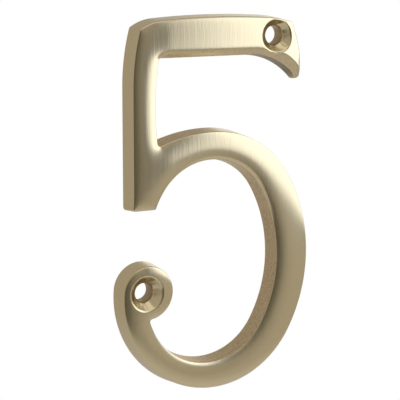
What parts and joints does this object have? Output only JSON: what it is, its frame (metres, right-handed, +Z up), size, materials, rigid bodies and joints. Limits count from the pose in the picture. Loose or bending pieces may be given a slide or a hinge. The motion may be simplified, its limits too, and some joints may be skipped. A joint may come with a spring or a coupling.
{
  "type": "brass door number",
  "caption": "Cast brass house numeral in the form of a five, with a flat back, a crowned satin face and countersunk screw holes for fixing it to a door.",
  "frame": {"origin": "on the flat back, midway between the two screw holes", "axes": "+Z up the numeral, +X to the reader's right, +Y into the door, so the face looks along -Y"},
  "size_m": [0.0426, 0.005, 0.076],
  "materials": {
    "satin_brass": "satin brushed face, plainer cast walls"
  },
  "bodies": {
    "root": {"numeral_five": "satin_brass"}
  },
  "joints": []
}
